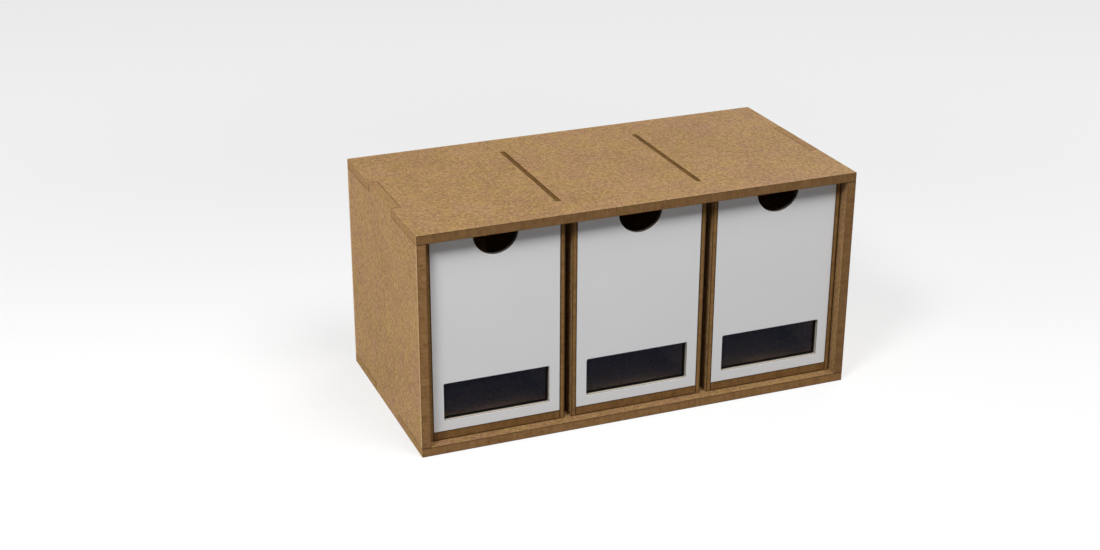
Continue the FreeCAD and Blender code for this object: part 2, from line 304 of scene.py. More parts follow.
def ease_edges(board, radius):
    """Rounds a board's corners by this radius, without touching its mesh."""
    weld = board.modifiers.new("join_triangles", "WELD")
    weld.merge_threshold = SAME_POINT
    bevel = board.modifiers.new("eased_edges", "BEVEL")
    bevel.width = radius
    bevel.segments = 2
    bevel.limit_method = "ANGLE"
    bevel.angle_limit = math.radians(CORNER_DEGREES)


for name, board in boards.items():
    if name.endswith("_window_pane"):
        ease_edges(board, SHEET_EASE)
    elif name.startswith("case_"):
        ease_edges(board, CASE_EASE)
    elif name.endswith("_base"):
        # A drawer slides on its base, which wears it rounder.
        ease_edges(board, BASE_EASE)
    else:
        ease_edges(board, THIN_EASE)
print("eased", len(boards), "boards")

# %% [markdown]
# ## Fibreboard
#
# Fibreboard is wood fibre and glue, hot-pressed to a sheet. Up close its face is a felt of short
# straw and brown strands under soft clouds of tone, with a dark fleck of bark here and there.
# A laser-cut edge is another surface: an even brown, faintly striped across the board where the beam
# stepped along, and darkest along the two skins where the beam went in and out. Smoke from the cut
# stains the inner faces near the front, and the same dark stain is carried on into the recess and
# the narrow gaps between the drawers as painted shade. Where finger joints come through the outside
# of the case they were sanded flush, so there the cut wood is nearly as pale as the face and only the
# thin burnt joint line stays dark. A pale band along the case's front and back corners is a painted
# highlight, and the edges of the top and right boards are painted darker as shade.
#
# A picture of real board would be quick, but it repeats and it can't follow the joints. So the
# finish is worked out from where a point lies and which way it looks. Looking along the board's
# thickness is pressed face, looking across it is cut edge, and slanted is an eased corner. All
# boards share one frame, so the joint lines fall on the joints by themselves.

# %% Colours of the board
FACE_TONES = ((0.40, "#81633B"), (0.50, "#9A794B"), (0.60, "#AF8F59"))
FACE_ROSY = "#9B735A"
STRAND = "#B99B74"
BARK = "#60452A"
SANDED = "#8C6B42"
THICK_CUT = ((0.30, "#74512F"), (0.50, "#936D43"), (0.70, "#A57E51"))
THIN_CUT = ((0.30, "#5E4222"), (0.50, "#7D5B33"), (0.70, "#8E6A3F"))
SIDE_CUT = ((0.30, "#6A4C29"), (0.50, "#8B683C"), (0.70, "#9B7648"))
TENON_CUT = ((0.34, "#483010"), (0.50, "#664619"), (0.66, "#785722"))
SCORCH = "#342110"
JOINT_BURN = "#56391C"
SMOKE_AND_SHADE = "#4C341E"
print("face tan", FACE_TONES[1][1], "and cut edge", THICK_CUT[1][1])

# %% The pressed face
CLOUD_MM = 34
FELT_MM = 1.8
BATCH_MM = 13
STRAND_MM = 3.0
FLECK_MM = 11
FELT_SHARE = 0.9
ROSY_SHARE = 0.55
STRAND_SHARE = 0.4
BARK_SHARE = 0.75


def pressed_face(tree, place):
    """Colour and height of a hot-pressed face. The felt of fibres is 0.3 mm fine on the real board.
    It is drawn 1.8 mm coarse, as anything finer would blur to one flat tan at this distance."""
    # The felt gives the eye a fine even mottle, and the clouds keep broad faces from looking painted.
    clouds = add_node(tree, "TexNoise", {"Vector": place, "Scale": every(CLOUD_MM)}).outputs["Fac"]
    matted = {"Vector": place, "Scale": every(FELT_MM), "Detail": 5.0, "Roughness": 0.72, "Distortion": 0.5}
    felt = add_node(tree, "TexNoise", matted).outputs["Fac"]
    tone = add_node(tree, "Mix", {0: FELT_SHARE, 2: clouds, 3: felt}).outputs[0]
    tan = add_node(tree, "ValToRGB", {"Fac": tone}, FACE_TONES).outputs["Color"]
    # Here and there the batch of fibre was a little redder. Only the hue moves, so the felt stays.
    mixed = {"Vector": place, "Scale": every(BATCH_MM), "Detail": 4.0, "Roughness": 0.65}
    batch = add_node(tree, "TexNoise", mixed).outputs["Fac"]
    redder = {"Value": batch, "From Min": 0.35, "From Max": 0.68, "To Max": ROSY_SHARE}
    rosy = add_node(tree, "MapRange", redder, interpolation_type="SMOOTHSTEP").outputs[0]
    hues = {0: rosy, 6: tan, 7: linear(FACE_ROSY)}
    colour = add_node(tree, "Mix", hues, data_type="RGBA", blend_type="COLOR").outputs[2]
    # Pale strands lie as thin crooked ridges.
    ridged = {"Vector": place, "Scale": every(STRAND_MM), "Detail": 3.0, "Roughness": 0.6, "Distortion": 1.4}
    ridge = add_node(tree, "TexNoise", ridged, noise_type="RIDGED_MULTIFRACTAL").outputs["Fac"]
    strand = {"Value": ridge, "From Min": 0.5, "From Max": 1.1, "To Max": STRAND_SHARE}
    pale = add_node(tree, "MapRange", strand).outputs[0]
    colour = add_node(tree, "Mix", {0: pale, 6: colour, 7: linear(STRAND)}, data_type="RGBA").outputs[2]
    # One fleck of bark sits in about every 11 mm.
    spot = add_node(tree, "TexVoronoi", {"Vector": place, "Scale": every(FLECK_MM)}).outputs["Distance"]
    fleck = {"Value": spot, "From Min": 0.10, "From Max": 0.04, "To Max": BARK_SHARE}
    bark = add_node(tree, "MapRange", fleck, interpolation_type="SMOOTHSTEP").outputs[0]
    colour = add_node(tree, "Mix", {0: bark, 6: colour, 7: linear(BARK)}, data_type="RGBA").outputs[2]
    return colour, felt


print("felt drawn", FELT_MM, "mm coarse, a bark fleck every", FLECK_MM, "mm")

# %% The laser-cut edge
BEAM_STEP_MM = 0.8
SMOKE_CLOUD_MM = 5
CLOUD_SHARE = 0.6
BEAM_SQUEEZE = {"X": (0.1, 1.0, 1.0), "Y": (1.0, 0.1, 1.0), "Z": (1.0, 1.0, 0.1)}


def cut_edge(tree, place, axis, browns):
    """Colour and height of an edge that a laser cut along the axis of the board's thickness.
    The beam's steps are a tenth of a millimetre apart. They are drawn 0.8 mm apart so that they show."""
    # Squeezed along the beam, the noise draws out into stripes straight across the board.
    along_beam = {0: place, 1: BEAM_SQUEEZE[axis]}
    squeezed = add_node(tree, "VectorMath", along_beam, operation="MULTIPLY").outputs[0]
    steps = {"Vector": squeezed, "Scale": every(BEAM_STEP_MM), "Roughness": 0.6}
    stripes = add_node(tree, "TexNoise", steps).outputs["Fac"]
    # The cut is browner where the beam slowed or its smoke lingered, which breaks up the stripes.
    clouds = {"Vector": place, "Scale": every(SMOKE_CLOUD_MM), "Detail": 5.0, "Roughness": 0.7}
    browning = add_node(tree, "TexNoise", clouds).outputs["Fac"]
    tone = add_node(tree, "Mix", {0: CLOUD_SHARE, 2: stripes, 3: browning}).outputs[0]
    return add_node(tree, "ValToRGB", {"Fac": tone}, browns).outputs["Color"], stripes


print("beam steps drawn", BEAM_STEP_MM, "mm apart")

# %% Burnt rims of a cut edge
RIM = 1.1 * MM
AXES = {"X": 0, "Y": 1, "Z": 2}


def burnt_rims(tree, along, axis, members):
    """1 at either skin of a board, 0 deeper in. The members are alike, so it is enough to know how
    far a point lies from the nearest one's middle."""
    index = AXES[axis]
    boxes = [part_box(name) for name in members]
    half_thickness = min(high[index] - low[index] for low, high in boxes) / 2
    middles = sorted({round((low[index] + high[index]) / 2, 6) for low, high in boxes})
    nearest = None
    for middle in middles:
        off = add_node(tree, "Math", {0: along, 1: middle}, operation="SUBTRACT").outputs[0]
        off = add_node(tree, "Math", {0: off}, operation="ABSOLUTE").outputs[0]
        if nearest is None:
            nearest = off
        else:
            nearest = add_node(tree, "Math", {0: nearest, 1: off}, operation="MINIMUM").outputs[0]
    rim = {"Value": nearest, "From Min": half_thickness - RIM, "From Max": half_thickness}
    return add_node(tree, "MapRange", rim, interpolation_type="SMOOTHSTEP").outputs[0]


print("burnt rims", round(RIM / MM, 2), "mm deep")

# %% Places on the case


def case_places(tree, parts):
    """How far a point lies to the side, up or down, and to the front or back, all without sign.
    Up and down is counted from half height, and shifted so that its skin lies at the same number
    as the side's skin."""
    middle = cad_high.z / 2
    side = add_node(tree, "Math", {0: parts["X"]}, operation="ABSOLUTE").outputs[0]
    lift = add_node(tree, "Math", {0: parts["Z"], 1: middle}, operation="SUBTRACT").outputs[0]
    lift = add_node(tree, "Math", {0: lift}, operation="ABSOLUTE").outputs[0]
    level = add_node(tree, "Math", {0: lift, 1: cad_high.x - middle}, operation="ADD").outputs[0]
    reach = add_node(tree, "Math", {0: parts["Y"]}, operation="ABSOLUTE").outputs[0]
    return side, level, reach


print("skins of the case at", round(cad_high.x / MM, 1), "mm, ends at", round(cad_high.y / MM, 1), "mm")

# %% The sanded skin
SKIN = 0.32 * MM
WORN_THROUGH = 0.7


def sanded_skin(tree, side, level, reach, corner_wear_and_highlight):
    """1 on the case's left, right, top and underside. Its front and back were not sanded, but at the
    corners the pale skin runs on over the eased edge, the more so the larger corner_wear_and_highlight
    is. That is partly sanding and partly a painted highlight."""
    outermost = add_node(tree, "Math", {0: side, 1: level}, operation="MAXIMUM").outputs[0]
    skin = {"Value": outermost, "From Min": cad_high.x - SKIN, "From Max": cad_high.x - 0.9 * SKIN}
    on_skin = add_node(tree, "MapRange", skin).outputs[0]
    stop = (1.0 - WORN_THROUGH * corner_wear_and_highlight) * SKIN
    ends = {"Value": reach, "From Min": cad_high.y - stop, "From Max": cad_high.y - stop - 0.1 * SKIN}
    off_ends = add_node(tree, "MapRange", ends).outputs[0]
    return add_node(tree, "Math", {0: on_skin, 1: off_ends}, operation="MULTIPLY").outputs[0]


print("sanded skin", round(SKIN / MM, 2), "mm thick, a little more than the eased edge")

# %% Painted highlight along the corners
CORNER_HIGHLIGHT_BAND = 3.6 * MM
CORNER_HIGHLIGHT = "#D2B283"
CORNER_HIGHLIGHT_SHARE = 0.3


def painted_corner_highlight(tree, reach, corner_wear_and_highlight):
    """A painted highlight: how much the sanded skin is painted pale next to the case's front and back
    corners. It gives the eye a thin light line along the corner, where an eased edge would catch the light."""
    near = {"Value": reach, "From Min": cad_high.y - CORNER_HIGHLIGHT_BAND, "From Max": cad_high.y - 0.4 * CORNER_HIGHLIGHT_BAND}
    near["To Max"] = CORNER_HIGHLIGHT_SHARE * corner_wear_and_highlight
    return add_node(tree, "MapRange", near, interpolation_type="SMOOTHSTEP").outputs[0]


# The band is a painted highlight.
print("worn band", round(CORNER_HIGHLIGHT_BAND / MM, 1), "mm wide")

# %% Burnt lines at the finger joints
CASE_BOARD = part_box("case_bottom_board")[1].z
HALF_FINGER = 25 * MM
JOINT_LINE = 0.6 * MM
SWELL_EVERY_MM = 4
SWELLS_BY = 0.3 * MM
THINS_BY = 0.35 * MM


def joint_lines(tree, place, side, level, reach):
    """1 along the finger joints, 0 elsewhere, for the sanded skin. Each side board comes through the
    top and the bottom for one finger in the middle of the depth. So there are three kinds of line:
    along the finger's inner side, along the board's underside past the finger, and across its ends."""
    inner = cad_high.x - CASE_BOARD
    past_finger = add_node(tree, "Math", {0: reach, 1: HALF_FINGER}, operation="SUBTRACT").outputs[0]
    within_finger = add_node(tree, "Math", {0: HALF_FINGER, 1: reach}, operation="SUBTRACT").outputs[0]
    across_end = add_node(tree, "Math", {0: past_finger}, operation="ABSOLUTE").outputs[0]
    past_side = add_node(tree, "Math", {0: inner, 1: side}, operation="SUBTRACT").outputs[0]
    past_level = add_node(tree, "Math", {0: inner, 1: level}, operation="SUBTRACT").outputs[0]
    off_side = add_node(tree, "Math", {0: past_side}, operation="ABSOLUTE").outputs[0]
    off_level = add_node(tree, "Math", {0: past_level}, operation="ABSOLUTE").outputs[0]
    beside = add_node(tree, "Math", {0: off_side, 1: past_finger}, operation="MAXIMUM").outputs[0]
    under = add_node(tree, "Math", {0: off_level, 1: within_finger}, operation="MAXIMUM").outputs[0]
    inside = add_node(tree, "Math", {0: past_side, 1: past_level}, operation="MAXIMUM").outputs[0]
    end = add_node(tree, "Math", {0: across_end, 1: inside}, operation="MAXIMUM").outputs[0]
    nearest = add_node(tree, "Math", {0: beside, 1: under}, operation="MINIMUM").outputs[0]
    nearest = add_node(tree, "Math", {0: nearest, 1: end}, operation="MINIMUM").outputs[0]
    # The burn is uneven, so the line swells and thins.
    wander = {"Vector": place, "Scale": every(SWELL_EVERY_MM), "Detail": 3.0, "Roughness": 0.7}
    swell = {"Value": add_node(tree, "TexNoise", wander).outputs["Fac"]}
    swell.update({"From Min": 0.3, "From Max": 0.7, "To Min": -SWELLS_BY, "To Max": THINS_BY})
    uneven = add_node(tree, "MapRange", swell).outputs[0]
    nearest = add_node(tree, "Math", {0: nearest, 1: uneven}, operation="ADD").outputs[0]
    line = {"Value": nearest, "From Min": 1.3 * JOINT_LINE, "From Max": 0.5 * JOINT_LINE}
    return add_node(tree, "MapRange", line, interpolation_type="SMOOTHSTEP").outputs[0]


print("fingers", round(2 * HALF_FINGER / MM), "mm long in boards of", round(CASE_BOARD / MM, 1), "mm")

# %% Which way a surface looks
STRAIGHT_DEGREES = 14
SLANTED_DEGREES = 26


def looks_along(tree, direction):
    """For X, Y and Z, 1 where the surface looks along that axis and 0 where it looks elsewhere."""
    slanted, level = (math.cos(math.radians(angle)) for angle in (SLANTED_DEGREES, STRAIGHT_DEGREES))
    straight = {}
    for letter in AXES:
        size = add_node(tree, "Math", {0: direction[letter]}, operation="ABSOLUTE").outputs[0]
        near = {"Value": size, "From Min": slanted, "From Max": level}
        straight[letter] = add_node(tree, "MapRange", near, interpolation_type="SMOOTHSTEP").outputs[0]
    return straight


print("straight up to", STRAIGHT_DEGREES, "degrees off an axis, slanted from", SLANTED_DEGREES)

# %% Giving boards a finish


def dress(names, material):
    """Puts one material on every named board."""
    for name in names:
        for slot in boards[name].material_slots:
            slot.material = material
    print(len(names), "x", material.name)


print("slots to fill:", sum(len(board.material_slots) for board in boards.values()))

# %% Smoke stain and painted shade on the inner faces
STAIN_AND_SHADE_BEGINS = 1 * MM
STAIN_AND_SHADE_FADES = 7 * MM
NO_STAIN_NOR_SHADE = (0.0, -77 * MM, -62 * MM)


def smoke_and_painted_shade(tree, depth, browning):
    """How strongly a face is darkened behind the front, partly by the cut's smoky stain and partly as
    painted shade of the recess and the narrow gaps. browning is the strongest darkening and the two
    places between which it lies, counted along the depth of the case."""
    share, front, back = browning
    begins = {"Value": depth, "From Min": front, "From Max": front + STAIN_AND_SHADE_BEGINS, "To Max": share}
    fades = {"Value": depth, "From Min": back, "From Max": back - STAIN_AND_SHADE_FADES, "To Max": share}
    near = add_node(tree, "MapRange", begins).outputs[0]
    far = add_node(tree, "MapRange", fades, interpolation_type="SMOOTHSTEP").outputs[0]
    return add_node(tree, "Math", {0: near, 1: far}, operation="MINIMUM").outputs[0]


print("smoke fades over", round(STAIN_AND_SHADE_FADES / MM), "mm")

# %% The sanded outside
SANDED_SHARE = 0.4
JOINT_SHARE = 0.5


def sanded_outside(tree, place, on_face, face_colour, far_out, corner_wear_and_highlight):
    """Colour of the case's sanded skin: pale everywhere, with a burnt line along each joint, so a
    joint reads as a thin drawn line and not as a dark patch, and with a painted highlight along the
    front and back corners. far_out is what case_places gives."""
    reach = far_out[2]
    pale = {0: SANDED_SHARE, 6: face_colour, 7: linear(SANDED)}
    pale_end = add_node(tree, "Mix", pale, data_type="RGBA").outputs[2]
    skin = add_node(tree, "Mix", {0: on_face, 6: pale_end, 7: face_colour}, data_type="RGBA").outputs[2]
    # Painted highlight: a pale band along the front and back corners.
    rubbed = {0: painted_corner_highlight(tree, reach, corner_wear_and_highlight), 6: skin, 7: linear(CORNER_HIGHLIGHT)}
    skin = add_node(tree, "Mix", rubbed, data_type="RGBA").outputs[2]
    lines = joint_lines(tree, place, *far_out)
    lines = add_node(tree, "Math", {0: lines, 1: JOINT_SHARE}, operation="MULTIPLY").outputs[0]
    burn = {0: lines, 6: skin, 7: linear(JOINT_BURN)}
    return add_node(tree, "Mix", burn, data_type="RGBA").outputs[2]


print("sanded ends are", SANDED_SHARE, "sanded brown, joint lines", JOINT_SHARE, "burnt")

# %% Matt wood
EDGE_ROUGHNESS = 0.9
FACE_SMOOTHEST = 0.68
FACE_ROUGHEST = 0.82
WOOD_GLOSS = 0.2
FIBRE_RELIEF = 0.05 * MM


def matt_wood(tree, on_face, colour, face_height, edge_height):
    """Gives the material its gloss and relief. Faces are matt with a hint of the press's polish, and
    edges are fully matt, so under the same lamp a face looks smooth and an edge dry and dusty."""
    polish = {"Value": face_height, "From Min": 0.3, "From Max": 0.7}
    polish.update({"To Min": FACE_SMOOTHEST, "To Max": FACE_ROUGHEST})
    face_matt = add_node(tree, "MapRange", polish).outputs[0]
    roughness = add_node(tree, "Mix", {0: on_face, 2: EDGE_ROUGHNESS, 3: face_matt}).outputs[0]
    height = add_node(tree, "Mix", {0: on_face, 2: edge_height, 3: face_height}).outputs[0]
    bump = add_node(tree, "Bump", {"Strength": 0.6, "Distance": FIBRE_RELIEF, "Height": height}).outputs[0]
    finish = {"Base Color": colour, "Roughness": roughness, "Normal": bump}
    finish["Specular IOR Level"] = WOOD_GLOSS
    surface = add_node(tree, "BsdfPrincipled", finish).outputs[0]
    add_node(tree, "OutputMaterial", {"Surface": surface})


print("roughness of faces", FACE_SMOOTHEST, "to", FACE_ROUGHEST, "and of cut edges", EDGE_ROUGHNESS)

# %% Bare fibreboard
BURNT_SHARE = 0.85
WIPED_SHARE = 0.4


def fibreboard(name, axis, browns, browning, members, shade_painted_high=0.0, rim_share=BURNT_SHARE, corner_wear_and_highlight=0.0):
    """Bare fibreboard whose thickness runs along the axis: matt pressed faces, browned laser-cut edges.
    browning is what smoke_and_painted_shade takes, shade_painted_high how much darker the edges of the
    highest member are painted as shade, rim_share how black the burnt rims are, and
    corner_wear_and_highlight how much pale sanded corner and painted highlight the corners get."""
    material, tree = start_material(name)
    where = add_node(tree, "TexCoord").outputs
    place = where["Object"]
    parts = add_node(tree, "SeparateXYZ", {0: place}).outputs
    straight = looks_along(tree, add_node(tree, "SeparateXYZ", {0: where["Normal"]}).outputs)
    on_face = straight[axis]

    face_colour, face_height = pressed_face(tree, place)
    # Painted shade: inner faces darken behind the front, partly smoke stain and partly the shade of the
    # recess and the gaps.
    stained_and_shaded = {0: smoke_and_painted_shade(tree, parts["Y"], browning), 6: face_colour, 7: linear(SMOKE_AND_SHADE)}
    inner_face = add_node(tree, "Mix", stained_and_shaded, data_type="RGBA").outputs[2]

    # Cut edges with burnt rims, and burnt corners: the dark outline that tells the eye it was a laser.
    edge_colour, edge_height = cut_edge(tree, place, axis, browns)
    rims = burnt_rims(tree, parts[axis], axis, members)
    burnt = add_node(tree, "Math", {0: rims, 1: rim_share}, operation="MULTIPLY").outputs[0]
    # Painted shade: the edges darken along the axis towards the highest member, so the top and right boards'
    # edges come out darker.
    lowest = min(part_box(member)[0][AXES[axis]] for member in members)
    highest = max(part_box(member)[1][AXES[axis]] for member in members)
    ends = {"Value": parts[axis], "From Min": lowest, "From Max": highest, "To Max": shade_painted_high}
    high_end_shade = add_node(tree, "MapRange", ends).outputs[0]
    # From here burnt holds the burnt rims and that painted shade together.
    burnt = add_node(tree, "Math", {0: burnt, 1: high_end_shade}, operation="MAXIMUM").outputs[0]
    rimmed = add_node(tree, "Mix", {0: burnt, 6: edge_colour, 7: linear(SCORCH)}, data_type="RGBA").outputs[2]
    colour = add_node(tree, "Mix", {0: on_face, 6: rimmed, 7: inner_face}, data_type="RGBA").outputs[2]
    flat = add_node(tree, "Math", {0: straight["X"], 1: straight["Y"]}, operation="MAXIMUM").outputs[0]
    flat = add_node(tree, "Math", {0: flat, 1: straight["Z"]}, operation="MAXIMUM").outputs[0]
    colour = add_node(tree, "Mix", {0: flat, 6: linear(SCORCH), 7: colour}, data_type="RGBA").outputs[2]

    far_out = case_places(tree, parts)
    outside = sanded_outside(tree, place, on_face, face_colour, far_out, corner_wear_and_highlight)
    sanded = sanded_skin(tree, *far_out, corner_wear_and_highlight)
    colour = add_node(tree, "Mix", {0: sanded, 6: colour, 7: outside}, data_type="RGBA").outputs[2]
    matt_wood(tree, on_face, colour, face_height, edge_height)
    dress(members, material)


print("burnt rims are", BURNT_SHARE, "scorched, wiped ones", WIPED_SHARE)

# %% Boards of the case
lying_boards = ["case_top_board", "case_bottom_board"]
upright_boards = ["case_left_board", "case_right_board"]
dividers = ["left_divider", "right_divider"]
# Smoke stain and painted shade: the strongest darkening, and where it begins and ends along the depth
# of the case. On the dividers, deep in the gaps between the drawers, it is mostly painted shade.
COVER_STAIN_AND_SHADE = (0.2, -77 * MM, -62 * MM)
DIVIDER_STAIN_AND_SHADE = (0.6, -61 * MM, -45 * MM)
# The outside of the case was wiped and sanded after the cut, so its front edges lost most of their
# burn. The side boards get the full pale corner band, partly sanding and mostly painted highlight,
# and the edges of the top and right boards are painted darker as shade.
fibreboard("fibreboard_6mm_lying_laser_cut", "Z", THICK_CUT, COVER_STAIN_AND_SHADE, lying_boards,
           shade_painted_high=0.32, rim_share=WIPED_SHARE, corner_wear_and_highlight=0.15)
fibreboard("fibreboard_6mm_upright_laser_cut", "X", THICK_CUT, NO_STAIN_NOR_SHADE, upright_boards,
           shade_painted_high=0.28, rim_share=WIPED_SHARE, corner_wear_and_highlight=1.0)
fibreboard("fibreboard_3mm_back_board_laser_cut", "Y", THIN_CUT, NO_STAIN_NOR_SHADE, ["case_back_board"])
fibreboard("fibreboard_3mm_divider_laser_cut", "X", TENON_CUT, DIVIDER_STAIN_AND_SHADE, dividers)

# %% Boards of the drawers
DRAWERS = ("left_drawer", "middle_drawer", "right_drawer")
# The drawers' sides and bases darken just behind their fronts: partly smoke stain, partly painted shade of
# the narrow gaps between the drawers.
BASE_STAIN_AND_SHADE = (0.4, -69 * MM, -50 * MM)
SIDE_STAIN_AND_SHADE = (0.4, -66 * MM, -50 * MM)


def of_each_drawer(*pieces):
    """The names of these pieces in all three drawers."""
    return [f"{drawer}_{piece}" for drawer in DRAWERS for piece in pieces]


drawer_bases = of_each_drawer("base")
drawer_sides = of_each_drawer("left_side", "right_side")
drawer_backs = of_each_drawer("back")
fibreboard("fibreboard_6mm_drawer_base_laser_cut", "Z", THIN_CUT, BASE_STAIN_AND_SHADE, drawer_bases)
fibreboard("fibreboard_3mm_drawer_side_laser_cut", "X", SIDE_CUT, SIDE_STAIN_AND_SHADE, drawer_sides)
fibreboard("fibreboard_3mm_drawer_back_laser_cut", "Y", THIN_CUT, NO_STAIN_NOR_SHADE, drawer_backs)

# %% [markdown]
# ## White-faced board
#
# The drawer fronts are cut from thin fibreboard with a smooth white film pressed on one side, the
# kind used for cabinet backs. The film is satin, so it answers the lamps with a soft, even white.
# In the window the pale core of the board shows as a thin edge, with the burnt rim of the film as a
# fine line in front of it. Its back rim is drawn near black, partly char and partly painted shade, and
# in the notch, under the top board, the core is painted grey as shade. The film could be a sheet of its
# own, but it is thinner than paper. So one material paints it on the front skin of the board by
# depth, and leaves core and bare back behind it.

# %% Colours of the white-faced board
WHITE_FILM = "#ECECED"
WHITE_DRIFT = "#E8E8E9"
CORE_DARK = "#A29889"
CORE_PALE = "#C4BCB0"
FILM_BURN = "#6A5238"
BACK_CHAR_AND_SHADE = "#1A120B"
NOTCH_SHADE_GREY = "#45423F"
FRONT_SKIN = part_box("left_drawer_front")[0].y
print("white film", WHITE_FILM, "on the plane y =", round(FRONT_SKIN / MM, 2), "mm")

# %% White of the film
DRIFT_MM = 30


def film_white(tree, place):
    """The film is never quite one white: it drifts a little over about 30 mm."""
    drift = add_node(tree, "TexNoise", {"Vector": place, "Scale": every(DRIFT_MM)}).outputs["Fac"]
    whites = {0: drift, 6: linear(WHITE_FILM), 7: linear(WHITE_DRIFT)}
    return add_node(tree, "Mix", whites, data_type="RGBA").outputs[2]


print("white drifts over", DRIFT_MM, "mm, from", WHITE_FILM, "to", WHITE_DRIFT)

# %% Cut core in the notch and the window
CORE_FIBRE_MM = 0.8
NOTCH_SHADE_FROM = 100 * MM
NOTCH_SHADE_TO = 120 * MM
NOTCH_SHADE_SHARE = 0.85
BURN_DEPTH = 0.9 * MM
BACK_CHAR_AND_SHADE_DEPTH = 2.3 * MM


def cut_core(tree, place, up, depth):
    """Colour of the board's core where it was cut through. Its fibres are finer than half a
    millimetre and are drawn 0.8 mm coarse, so that the thin edge doesn't look like plastic."""
    fibrous = {"Vector": place, "Scale": every(CORE_FIBRE_MM), "Detail": 3.0, "Roughness": 0.6}
    fibres = add_node(tree, "TexNoise", fibrous).outputs["Fac"]
    pales = {0: fibres, 6: linear(CORE_DARK), 7: linear(CORE_PALE)}
    core = add_node(tree, "Mix", pales, data_type="RGBA").outputs[2]
    # Painted shade: the core is greyed in the upper part of the front, where the notch lies under the top
    # board.
    upper_front = {"Value": up, "From Min": NOTCH_SHADE_FROM, "From Max": NOTCH_SHADE_TO, "To Max": NOTCH_SHADE_SHARE}
    notch_shade = add_node(tree, "MapRange", upper_front).outputs[0]
    core = add_node(tree, "Mix", {0: notch_shade, 6: core, 7: linear(NOTCH_SHADE_GREY)}, data_type="RGBA").outputs[2]
    # The beam burns the film's rim where it goes in, which the eye sees as a fine brown line.
    near_rim = {"Value": depth, "From Min": BURN_DEPTH, "From Max": 0.7 * BURN_DEPTH}
    browned = add_node(tree, "MapRange", near_rim).outputs[0]
    core = add_node(tree, "Mix", {0: browned, 6: core, 7: linear(FILM_BURN)}, data_type="RGBA").outputs[2]
    # The back rim is drawn near black, partly char where the beam leaves and partly painted shade, which
    # frames the window in a thin line.
    far_rim = {"Value": depth, "From Min": BACK_CHAR_AND_SHADE_DEPTH, "From Max": 1.3 * BACK_CHAR_AND_SHADE_DEPTH}
    charred_and_shaded = add_node(tree, "MapRange", far_rim).outputs[0]
    return add_node(tree, "Mix", {0: charred_and_shaded, 6: core, 7: linear(BACK_CHAR_AND_SHADE)}, data_type="RGBA").outputs[2]


print("film burnt to", round(BURN_DEPTH / MM, 1), "mm, back from", round(BACK_CHAR_AND_SHADE_DEPTH / MM, 1), "mm")

# %% Satin of the film
PATCH_MM = 16
PEEL_MM = 1.4
FILM_SHINIEST = 0.42
FILM_DULLEST = 0.55
CORE_ROUGHNESS = 0.85
PEEL_RELIEF = 0.01 * MM


def satin(tree, place, film):
    """Roughness and bump. Handling leaves patches a little shinier than others, and the film has a
    faint orange peel, so the white catches the lamp softly and unevenly and doesn't look like plaster."""
    rubbed = {"Vector": place, "Scale": every(PATCH_MM), "Detail": 5.0, "Roughness": 0.65, "Distortion": 1.0}
    patches = {"Value": add_node(tree, "TexNoise", rubbed).outputs["Fac"]}
    patches.update({"From Min": 0.35, "From Max": 0.75, "To Min": FILM_SHINIEST, "To Max": FILM_DULLEST})
    shine = add_node(tree, "MapRange", patches).outputs[0]
    roughness = add_node(tree, "Mix", {0: film, 2: CORE_ROUGHNESS, 3: shine}).outputs[0]
    dimples = {"Vector": place, "Scale": every(PEEL_MM), "Detail": 1.0}
    peel = add_node(tree, "TexNoise", dimples).outputs["Fac"]
    bump = add_node(tree, "Bump", {"Strength": 0.5, "Distance": PEEL_RELIEF, "Height": peel}).outputs[0]
    return roughness, bump


print("film roughness from", FILM_SHINIEST, "to", FILM_DULLEST)

# %% White film on fibreboard
FILM_DEPTH = 0.30 * MM
FILM_GLOSS = 0.15


def white_faced_board():
    """Thin fibreboard with a satin white film on the front: white face, cut edges, bare back."""
    material, tree = start_material("fibreboard_3mm_white_film_satin")
    where = add_node(tree, "TexCoord").outputs
    place = where["Object"]
    parts = add_node(tree, "SeparateXYZ", {0: place}).outputs
    straight = looks_along(tree, add_node(tree, "SeparateXYZ", {0: where["Normal"]}).outputs)
    depth = add_node(tree, "Math", {0: parts["Y"], 1: FRONT_SKIN}, operation="SUBTRACT").outputs[0]
    core = cut_core(tree, place, parts["Z"], depth)
    back_colour, _ = pressed_face(tree, place)
    board = {0: straight["Y"], 6: core, 7: back_colour}
    bare = add_node(tree, "Mix", board, data_type="RGBA").outputs[2]
    skin = {"Value": depth, "From Min": FILM_DEPTH, "From Max": 0.8 * FILM_DEPTH}
    film = add_node(tree, "MapRange", skin).outputs[0]
    faced = {0: film, 6: bare, 7: film_white(tree, place)}
    colour = add_node(tree, "Mix", faced, data_type="RGBA").outputs[2]
    roughness, bump = satin(tree, place, film)
    finish = {"Base Color": colour, "Roughness": roughness, "Normal": bump}
    finish["Specular IOR Level"] = FILM_GLOSS
    surface = add_node(tree, "BsdfPrincipled", finish).outputs[0]
    add_node(tree, "OutputMaterial", {"Surface": surface})
    return material


drawer_fronts = of_each_drawer("front")
dress(drawer_fronts, white_faced_board())

# %% [markdown]
# ## The clear sheet
#
# Behind each label window a clear acrylic sheet keeps the label in. The drawer behind it is dark,
# so the eye sees a nearly black window with a cool cast and a little brown of the board at the
# bottom. At acrylic's usual IOR of 1.49 it would mirror so much of the pale studio that the window
# turned grey, so the IOR is brought down until the window is dark enough, and the mirrored part is
# tinted blue. Rays on their way to a lamp pass straight through, or no light would reach the drawer.
# A thin black line just inside the rim of each window is painted shadow, laid on the sheet as a dark opaque
# band.

# %% The painted shadow line on the sheet
PANE_OVERLAP = 4.0 * MM
SHADOW_LINE_WIDTH = 1.4 * MM


